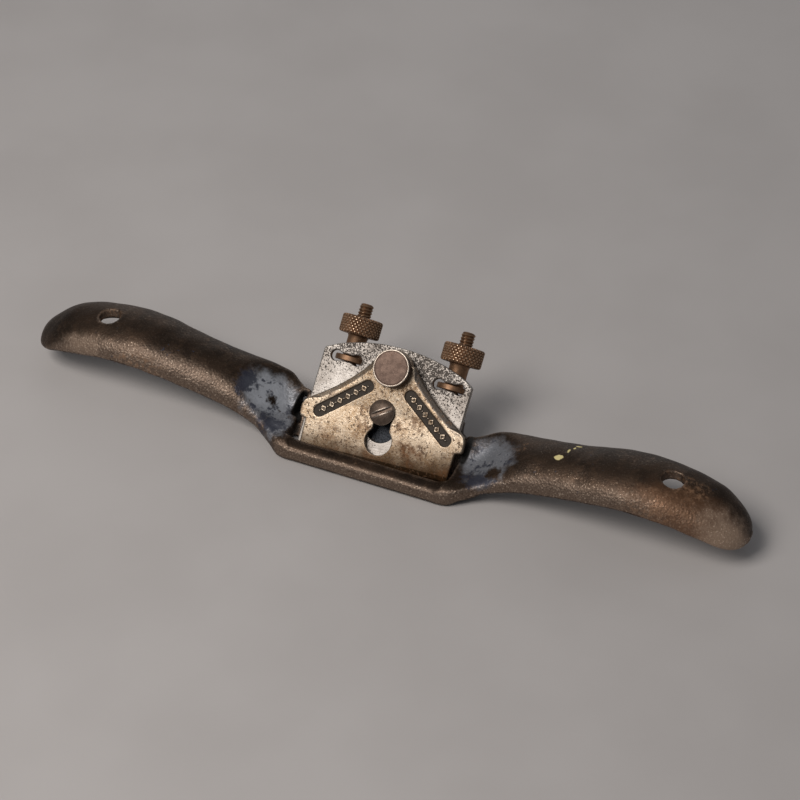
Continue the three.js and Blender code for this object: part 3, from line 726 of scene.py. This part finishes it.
class Paint:
    """A procedural material, whose patterns are measured in the row frame in millimetres."""

    def __init__(self, name):
        self.material = bpy.data.materials.new(name)
        self.material.use_nodes = True
        self.tree = self.material.node_tree
        self.shader = self.tree.nodes["Principled BSDF"]
        where = self.add("ShaderNodeTexCoord").outputs["Object"]
        self.place = self.vector("SCALE", {0: where, "Scale": 1 / MM})

    def add(self, kind, inputs=None, **settings):
        node = self.tree.nodes.new(kind)
        for label, value in settings.items():
            setattr(node, label, value)
        for label, value in (inputs or {}).items():
            self.put(node.inputs[label], value)
        return node

    def put(self, socket, value):
        if isinstance(value, bpy.types.NodeSocket):
            self.tree.links.new(value, socket)
        else:
            socket.default_value = value

    def vector(self, operation, inputs, output=0):
        return self.add("ShaderNodeVectorMath", inputs, operation=operation).outputs[output]

    def noise(self, size, detail=3.0, roughness=0.55, seed=0.0, stretch=None):
        place = self.place
        if stretch:
            place = self.vector("MULTIPLY", {0: place, 1: stretch})
        inputs = {"Vector": place, "W": seed, "Scale": 1 / size, "Detail": detail, "Roughness": roughness}
        return self.add("ShaderNodeTexNoise", inputs, noise_dimensions="4D").outputs[0]

    def cells(self, size):
        return self.add("ShaderNodeTexVoronoi", {"Vector": self.place, "Scale": 1 / size}).outputs[0]

    def value(self, label):
        return self.add("ShaderNodeAttribute", attribute_name=label).outputs["Fac"]

    def maths(self, operation, a, b):
        return self.add("ShaderNodeMath", {0: a, 1: b}, operation=operation).outputs[0]

    def times(self, a, b):
        return self.maths("MULTIPLY", a, b)

    def plus(self, a, b):
        return self.maths("ADD", a, b)

    def minus(self, a, b):
        return self.maths("SUBTRACT", a, b)

    def step(self, value, low, high):
        """0 below low and 1 above high, with a soft change between, or the other way round."""
        inputs = {"Value": value, "From Min": min(low, high), "From Max": max(low, high),
                  "To Min": float(low > high), "To Max": float(low < high)}
        return self.add("ShaderNodeMapRange", inputs, interpolation_type="SMOOTHSTEP").outputs[0]

    def scale(self, value, low, high):
        inputs = {"Value": value, "To Min": low, "To Max": high}
        return self.add("ShaderNodeMapRange", inputs).outputs[0]

    def mix(self, share, a, b):
        """From a to b. Either is a socket, a colour, or one number for a grey."""
        node = self.add("ShaderNodeMix", data_type="RGBA")
        self.put(node.inputs[0], share)
        for socket, value in ((node.inputs[6], a), (node.inputs[7], b)):
            if isinstance(value, float):
                value = (value, value, value)
            self.put(socket, (*value, 1) if isinstance(value, tuple) else value)
        return node.outputs[2]

    def blob(self, centre, size, wobble, grain, soft, seed):
        """A ragged patch around a point of the object."""
        offset = self.vector("SUBTRACT", {0: self.place, 1: centre})
        offset = self.vector("DIVIDE", {0: offset, 1: size})
        reach = self.vector("LENGTH", {0: offset}, "Value")
        ragged = self.times(self.minus(self.noise(grain, 5, 0.65, seed), 0.5), 4 * wobble)
        return self.step(self.plus(reach, ragged), 1 + soft, 1 - soft)

    def blobs(self, rows):
        return self.most(*(self.blob(*row) for row in rows))

    def most(self, *masks):
        result = masks[0]
        for mask in masks[1:]:
            result = self.maths("MAXIMUM", result, mask)
        return result

    def finish(self, color, roughness, metallic, height, depth, strength):
        self.put(self.shader.inputs["Base Color"], color)
        self.put(self.shader.inputs["Roughness"], roughness)
        self.put(self.shader.inputs["Metallic"], metallic)
        bump = self.add("ShaderNodeBump", {"Height": height, "Distance": depth * MM, "Strength": strength})
        self.put(self.shader.inputs["Normal"], bump.outputs[0])
        return self.material


# Patches on the casting and the cap: centre and size in mm, raggedness, grain, softness and seed
BLUE_PATCHES = (
    ((-40, 4, 12), (9.5, 8.5, 12), 0.3, 4, 0.3, 3.0),
    ((-33.5, -3, 7), (4, 6, 10), 0.5, 3, 0.3, 5.0),
    ((38.5, 4, 12), (8.5, 8.5, 12), 0.34, 4, 0.3, 7.0),
)
NAVY_PATCHES = (
    ((-48, 3.5, 14), (2.6, 4.5, 5), 1.1, 2, 0.4, 39.0),
    ((-35, -4.5, 8), (5, 3.5, 5), 1.0, 2, 0.4, 40.0),
    ((37.5, -3, 9), (6, 3, 5), 1.0, 2, 0.4, 41.0),
)
BARE_PATCHES = (
    ((-38.5, 3.5, 12), (2.2, 2.4, 4), 0.5, 1.6, 0.3, 8.0),
    ((42.5, -1, 10), (2.8, 2.2, 4), 0.5, 1.6, 0.3, 10.0),
)
# A painted reflection: paler slate on the left shoulder
SLATE_REFLECTION_PATCH = ((-41, 5, 12), (6.5, 6.5, 10), 0.4, 3, 0.6, 44.0)
RUSSET_PATCH = ((110, -1, 18), (17, 7.5, 9), 0.3, 5, 0.5, 22.0)
# A painted highlight on the right handle's tip; a paler bronze patch on the left handle's front.
TIP_HIGHLIGHT_PATCH = ((121, -0.5, 12), (10, 6, 9), 0.5, 3, 0.7, 42.0)
PALE_FRONT_PATCH = ((-105, -4, 17), (7, 2.2, 5), 0.7, 2, 0.8, 43.0)
RUST_PATCHES = (
    ((-84, -5, 17), (9, 2.4, 5), 0.5, 3, 0.5, 14.0),
    ((-HANG_HOLE[0], HANG_HOLE[1], 21), (4.4, 4.4, 5), 0.1, 2, 0.15, 15.0),
    ((HANG_HOLE[0], HANG_HOLE[1], 21), (4.4, 4.4, 5), 0.1, 2, 0.15, 16.0),
    ((107, 6, 22), (6, 4, 6), 0.5, 2, 0.4, 45.0),
    ((99, -3, 18), (12, 4, 7), 0.5, 4, 0.5, 18.0),
)
# Painted shade on the bed seen down the keyhole
KEYHOLE_SHADE_PATCH = ((0.6, 7.1, 8.3), (7, 6, 6), 0.1, 2, 0.2, 38.0)
# Painted shade in the deep corners beside the cap's ears
CORNER_SHADE_PATCHES = (
    ((-30.2, 7.4, 7), (1.9, 5.4, 6), 0.05, 2, 0.12, 36.0),
    ((30, 7, 9), (1.2, 6, 6), 0.05, 2, 0.3, 37.0),
)
CREAM_FLECKS = (
    ((62.5, 5.4, 16), (1.7, 1.4, 6), 0.22, 1.2, 0.12, 30.0),
    ((64.5, 9, 16), (0.5, 1.3, 6), 0.3, 1.0, 0.25, 31.0),
    ((65.8, 11.2, 16), (0.45, 0.9, 6), 0.3, 1.0, 0.25, 34.0),
    ((66.7, 12.9, 16), (1.3, 0.6, 6), 0.22, 1.0, 0.15, 35.0),
)
CAP_STAINS = (
    ((12, 1.6, 7), (5, 3, 3.5), 0.4, 2.5, 0.5, 11.0),
    ((-3, 16, 21), (6, 3, 3), 0.5, 2.5, 0.6, 12.0),
    ((5.5, 6.5, 12), (3.5, 3, 3), 0.5, 2, 0.6, 13.0),
    ((-5, 5.5, 11.5), (3, 3, 3), 0.5, 2, 0.6, 14.0),
)


def casting_paint():
    """Worn black-brown japanning over iron, with blue and navy paint left on the shoulders. Painted light
    is mixed in: a painted highlight on forward-facing faces and on the right handle's tip, a painted
    reflection on the left shoulder's slate, and painted shade, with dirt, in hollows, beside the cap's
    ears and down the keyhole.
    """
    p = Paint("worn_japanned_iron")
    edge = p.value("edge")
    broad = p.noise(18, 4, 0.6, 2.0)
    mottle = p.noise(2.6, 5, 0.65, 4.0)
    fine = p.noise(0.6, 3, 0.7, 6.0)
    ragged = p.times(p.minus(mottle, 0.5), 0.5)
    # Pale bronze: wear on raised edges, and on forward-facing faces partly wear and partly a painted
    # highlight.
    wear_and_highlight = p.most(p.step(p.plus(edge, ragged), 0.22, 0.75),
                  p.step(p.plus(p.value("front"), ragged), 0.15, 0.95))
    brown = p.mix(p.step(broad, 0.38, 0.66), (0.030, 0.019, 0.0125), (0.060, 0.037, 0.0235))
    brown = p.mix(p.step(mottle, 0.44, 0.74), brown, (0.084, 0.051, 0.032))
    sparks = p.step(fine, 0.54, 0.68)
    brown = p.mix(p.times(sparks, 0.35), brown, (0.24, 0.18, 0.13))
    bronze = p.mix(sparks, (0.195, 0.140, 0.105), (0.50, 0.395, 0.31))
    bronze = p.mix(p.step(fine, 0.46, 0.34), bronze, (0.10, 0.068, 0.049))
    color = p.mix(wear_and_highlight, brown, bronze)
    blue = p.blobs(BLUE_PATCHES)
    chips = p.step(p.noise(4.5, 4, 0.6, 9.0), 0.45, 0.37)
    spots = p.times(p.step(p.noise(2.0, 4, 0.6, 17.0), 0.665, 0.69),
                    p.step(p.noise(20, 2, 0.5, 12.0), 0.42, 0.52))
    navy = p.most(p.blobs(NAVY_PATCHES), p.times(blue, chips), spots)
    gone = p.times(p.step(p.noise(3.0, 5, 0.7, 33.0), 0.60, 0.66), 0.8)
    bare = p.most(p.blobs(BARE_PATCHES), gone)
    kept = p.minus(1.0, bare)
    blue = p.times(blue, kept)
    navy = p.times(navy, kept)
    slate = p.mix(sparks, (0.24, 0.246, 0.268), (0.37, 0.37, 0.385))
    # A paler slate patch on the left shoulder: a painted reflection.
    slate = p.mix(p.blob(*SLATE_REFLECTION_PATCH), slate, (0.50, 0.52, 0.56))
    color = p.mix(blue, color, slate)
    color = p.mix(p.times(navy, 0.85), color, (0.026, 0.029, 0.050))
    russet = p.times(p.blob(*RUSSET_PATCH), 0.65)
    color = p.mix(russet, color, p.mix(sparks, (0.23, 0.115, 0.060), (0.42, 0.25, 0.15)))
    # A painted highlight on the right handle's tip, and a paler bronze patch on the left handle's front.
    tip_highlight_and_pale_front = p.most(p.times(p.blob(*TIP_HIGHLIGHT_PATCH), 0.9),
                    p.times(p.blob(*PALE_FRONT_PATCH), 0.5))
    color = p.mix(tip_highlight_and_pale_front, color, p.mix(sparks, (0.36, 0.25, 0.175), (0.70, 0.53, 0.40)))
    rust_zone = p.most(p.blobs(RUST_PATCHES), p.step(p.noise(9, 3, 0.6, 25.0), 0.62, 0.72))
    rust = p.times(rust_zone, p.step(p.noise(1.5, 5, 0.7, 21.0), 0.45, 0.62))
    color = p.mix(p.times(rust, 0.6), color, (0.24, 0.125, 0.058))
    # Near-black where the surface curves inwards: partly dirt, partly painted shade in the hollows.
    hollow_dirt_and_shade = p.step(edge, -0.10, -0.45)
    color = p.mix(p.times(hollow_dirt_and_shade, 0.8), color, (0.022, 0.016, 0.012))
    # Painted shade: the bed seen down the keyhole is painted near-black.
    color = p.mix(p.blob(*KEYHOLE_SHADE_PATCH), color, (0.028, 0.031, 0.037))
    # Painted shade: near-black in the deep corners beside the cap's ears.
    corner = p.blobs(CORNER_SHADE_PATCHES)
    color = p.mix(corner, color, (0.006, 0.005, 0.004))
    fleck = p.blobs(CREAM_FLECKS)
    color = p.mix(fleck, color, (0.80, 0.68, 0.32))
    dull = p.most(rust, hollow_dirt_and_shade, fleck, corner)
    rough = p.mix(sparks, 0.50, 0.26)
    rough = p.mix(wear_and_highlight, rough, 0.46)
    rough = p.mix(blue, rough, 0.36)
    rough = p.mix(dull, rough, 0.75)
    metal = p.scale(p.most(dull, tip_highlight_and_pale_front, p.times(p.most(blue, navy), 0.5)), 0.8, 0.0)
    height = p.plus(p.times(p.step(p.cells(0.85), 0.0, 0.9), 0.8), p.times(fine, 1.2))
    height = p.times(height, p.scale(wear_and_highlight, 0.35, 1.0))
    return p.finish(color, rough, metal, height, 0.105, 1.0)


def cutter_paint():
    """Bright steel with fine dark pits, thickest where the mesh's pitting is high."""
    p = Paint("pitted_bright_steel")
    pitting = p.value("pitting")
    edge = p.value("edge")
    tone = p.noise(6, 4, 0.6, 3.0)
    fine = p.noise(0.5, 3, 0.6, 5.0)
    grain = p.noise(0.52, 2.5, 0.6, 9.0)
    dust = p.noise(0.30, 2, 0.6, 13.0)
    grind = p.noise(0.5, 2, 0.5, 7.0, (0.07, 1, 1))
    reach = p.plus(grain, p.times(pitting, 0.24))
    pit = p.step(reach, 0.665, 0.745)
    haze = p.step(p.plus(dust, p.times(pitting, 0.2)), 0.62, 0.80)
    color = p.mix(p.step(tone, 0.3, 0.7), (0.28, 0.247, 0.218), (0.38, 0.352, 0.325))
    color = p.mix(p.times(pitting, 0.5), color, (0.24, 0.21, 0.185))
    color = p.mix(p.times(haze, 0.8), color, (0.17, 0.14, 0.12))
    color = p.mix(p.times(pit, 0.85), color, (0.07, 0.053, 0.042))
    # Near-white on the sharp edges: a painted highlight.
    color = p.mix(p.step(edge, 0.9, 2.2), color, (0.66, 0.64, 0.61))
    rough = p.mix(p.step(tone, 0.3, 0.7), 0.48, 0.38)
    rough = p.mix(p.most(pit, haze), rough, 0.62)
    metal = p.scale(pit, 0.95, 0.35)
    height = p.plus(p.times(fine, 0.5), p.times(grind, 0.4))
    height = p.minus(height, p.times(pit, 1.2))
    return p.finish(color, rough, metal, height, 0.08, 0.8)


def cap_paint():
    """Nickel plate gone yellow, brown along its lower edge and stained round the keyhole. The brown
    towards the bottom is partly painted shade; the bevels carry painted shade and the sharp edges a
    painted highlight.
    """
    p = Paint("tanned_nickel_plate")
    panel = p.value("panel")
    edge = p.value("edge")
    bevelled = p.value("bevelled")
    tone = p.noise(9, 4, 0.6, 1.0)
    fine = p.noise(0.6, 4, 0.65, 3.0)
    specks = p.step(p.noise(0.75, 2.5, 0.6, 5.0), 0.57, 0.63)
    tan = p.mix(p.step(tone, 0.35, 0.65), (0.54, 0.43, 0.315), (0.38, 0.26, 0.155))
    tan = p.mix(p.step(fine, 0.45, 0.75), tan, (0.66, 0.57, 0.46))
    # Dark brown towards the bottom, by height above the floor: partly tarnish, partly painted shade.
    where = p.add("ShaderNodeSeparateXYZ", {0: p.place}).outputs
    lean = p.minus(where["Z"], p.times(where["X"], 0.11))
    low = p.step(p.plus(lean, p.times(p.noise(4, 4, 0.6, 19.0), 7.0)), 15.8, 4.8)
    tan = p.mix(low, tan, (0.058, 0.031, 0.014))
    stain = p.blobs(CAP_STAINS)
    rusty = p.step(p.noise(1.7, 5, 0.7, 23.0), 0.40, 0.60)
    around = p.times(p.step(p.noise(6, 4, 0.6, 27.0), 0.47, 0.64), 0.8)
    stain = p.times(p.most(stain, around), rusty)
    tan = p.mix(p.times(stain, 0.85), tan, (0.115, 0.050, 0.020))
    specks = p.times(specks, p.step(p.noise(7, 3, 0.5, 8.0), 0.28, 0.50))
    # Grey on the bevels, stronger on the right: painted shade.
    color = p.mix(p.times(bevelled, 0.9), tan, (0.17, 0.145, 0.125))
    # Paler on the sharp edges: a painted highlight.
    color = p.mix(p.times(p.step(edge, 0.9, 2.4), 0.6), color, (0.55, 0.49, 0.42))
    color = p.mix(p.times(specks, 0.65), color, (0.15, 0.072, 0.030))
    color = p.mix(panel, color, (0.060, 0.048, 0.038))
    rough = p.mix(p.step(fine, 0.3, 0.7), 0.40, 0.30)
    brown = p.times(p.most(stain, low), 0.7)
    rough = p.mix(p.most(panel, specks, brown), rough, 0.62)
    metal = p.scale(p.most(p.times(panel, 0.5), specks), 0.92, 0.3)
    height = p.minus(p.times(fine, 0.6), p.times(specks, 0.7))
    return p.finish(color, rough, metal, height, 0.08, 0.8)


def steel_paint(name, dark, light, crest, seed, low_edge=0.5, high_edge=1.6):
    """Oxidised brown steel, bright on its edges and knurl crests from wear; on the screw heads' top rims
    the bright edge is also a painted highlight.
    """
    p = Paint(name)
    edge = p.value("edge")
    tone = p.noise(2.2, 5, 0.65, seed)
    fine = p.noise(0.45, 3, 0.6, seed + 2)
    color = p.mix(p.step(tone, 0.35, 0.65), dark, light)
    color = p.mix(p.step(fine, 0.55, 0.75), color, tuple(1.5 * c for c in light))
    # Bright edges: wear, and on the screw heads' rims also a painted highlight.
    wear_and_highlight = p.step(edge, low_edge, high_edge)
    color = p.mix(wear_and_highlight, color, crest)
    rust = p.step(p.noise(1.3, 4, 0.6, seed + 5), 0.64, 0.72)
    color = p.mix(p.times(rust, 0.7), color, (0.30, 0.13, 0.05))
    rough = p.mix(wear_and_highlight, 0.50, 0.30)
    rough = p.mix(rust, rough, 0.75)
    metal = p.scale(rust, 0.85, 0.2)
    return p.finish(color, rough, metal, p.plus(fine, tone), 0.06, 0.6)


def floor_paint():
    p = Paint("floor")
    tone = p.noise(60, 3, 0.5, 1.0)
    fine = p.noise(0.9, 3, 0.6, 2.0)
    color = p.mix(p.step(tone, 0.3, 0.7), (0.53, 0.50, 0.485), (0.57, 0.54, 0.525))
    rough = p.scale(fine, 0.55, 0.65)
    return p.finish(color, rough, 0.0, fine, 0.05, 0.5)


# ---- Stage, lights and camera ----

FLOOR_HALF_SIZE = 3.0
WORLD_COLOR = (0.9, 0.93, 1.0, 1)
WORLD_STRENGTH = 0.14
CAMERA_AZIMUTH = math.radians(23.557)
CAMERA_ELEVATION = math.radians(41.442)
CAMERA_ROLL = math.radians(0.065)
CAMERA_DISTANCE = 0.88325
CAMERA_AIM = Vector((0.00267, 0.01512, 0.015))
CAMERA_LENS = 120.12


def add_floor():
    r = FLOOR_HALF_SIZE
    mesh = bpy.data.meshes.new("floor")
    mesh.from_pydata([(-r, -r, 0), (r, -r, 0), (r, r, 0), (-r, r, 0)], [], [(0, 1, 2, 3)])
    mesh.materials.append(floor_paint())
    floor = bpy.data.objects.new("floor", mesh)
    floor.location.z = -0.0002
    bpy.context.scene.collection.objects.link(floor)


def area_light(name, place, aim, size, power, color):
    data = bpy.data.lights.new(name, "AREA")
    data.shape = "RECTANGLE"
    data.size, data.size_y = size
    data.energy = power
    data.color = color
    light = bpy.data.objects.new(name, data)
    light.location = place
    light.rotation_euler = (Vector(aim) - Vector(place)).to_track_quat("-Z", "Y").to_euler()
    bpy.context.scene.collection.objects.link(light)


def add_world():
    world = bpy.data.worlds.new("world")
    bpy.context.scene.world = world
    world.use_nodes = True
    background = world.node_tree.nodes["Background"]
    background.inputs[0].default_value = WORLD_COLOR
    background.inputs[1].default_value = WORLD_STRENGTH
    bpy.context.scene.view_settings.view_transform = "Standard"


def add_camera():
    flat = math.cos(CAMERA_ELEVATION)
    towards = Vector((math.sin(CAMERA_AZIMUTH) * flat, -math.cos(CAMERA_AZIMUTH) * flat,
                      math.sin(CAMERA_ELEVATION)))
    data = bpy.data.cameras.new("camera")
    data.lens = CAMERA_LENS
    data.sensor_width = 36
    camera = bpy.data.objects.new("camera", data)
    place = Matrix.Translation(CAMERA_AIM + CAMERA_DISTANCE * towards)
    turn = towards.to_track_quat("Z", "Y").to_matrix().to_4x4()
    camera.matrix_world = place @ turn @ Matrix.Rotation(CAMERA_ROLL, 4, "Z")
    bpy.context.scene.collection.objects.link(camera)
    bpy.context.scene.camera = camera


# ---- The object and its scene ----

make_casting(casting_paint())
make_cutter(cutter_paint())
make_cap(cap_paint())
thumb_paint = steel_paint("brown_steel_thumb_screw", (0.10, 0.066, 0.052), (0.17, 0.115, 0.09),
                          (0.42, 0.36, 0.30), 3.0)
make_screw("thumb_screw_head", "thumb_screw", "thumb", THUMB_SCREW_S, thumb_field,
           (6.4, 0.3, 7.95), thumb_paint)
cap_screw_paint = steel_paint("brown_steel_cap_screw", (0.10, 0.072, 0.055), (0.18, 0.13, 0.10),
                              (0.42, 0.35, 0.29), 9.0)
make_screw("cap_screw_head", "cap_screw", "cap_screw", CAP_SCREW_S, cap_screw_field,
           (4.6, -8.5, 5.0), cap_screw_paint)
stud_paint = steel_paint("rusty_threaded_steel", (0.16, 0.088, 0.048), (0.27, 0.155, 0.088),
                         (0.42, 0.27, 0.165), 15.0, -0.4, 0.25)
nut_paint = steel_paint("brown_knurled_steel", (0.20, 0.112, 0.064), (0.33, 0.195, 0.115),
                        (0.60, 0.43, 0.29), 21.0, 0.75, 1.35)
for side, x in (("left", -SLOT_X), ("right", SLOT_X)):
    make_stud(side, x, stud_paint)
    make_nut(side, x, nut_paint)

add_floor()
area_light("key", (-0.26, -0.42, 0.72), (0, 0, 0.01), (0.50, 0.42), 4.5, (1.0, 0.96, 0.92))
area_light("back", (-0.30, 0.85, 0.32), (0, 0, 0), (0.7, 0.5), 0.9, (1.0, 0.98, 0.96))
add_world()
add_camera()
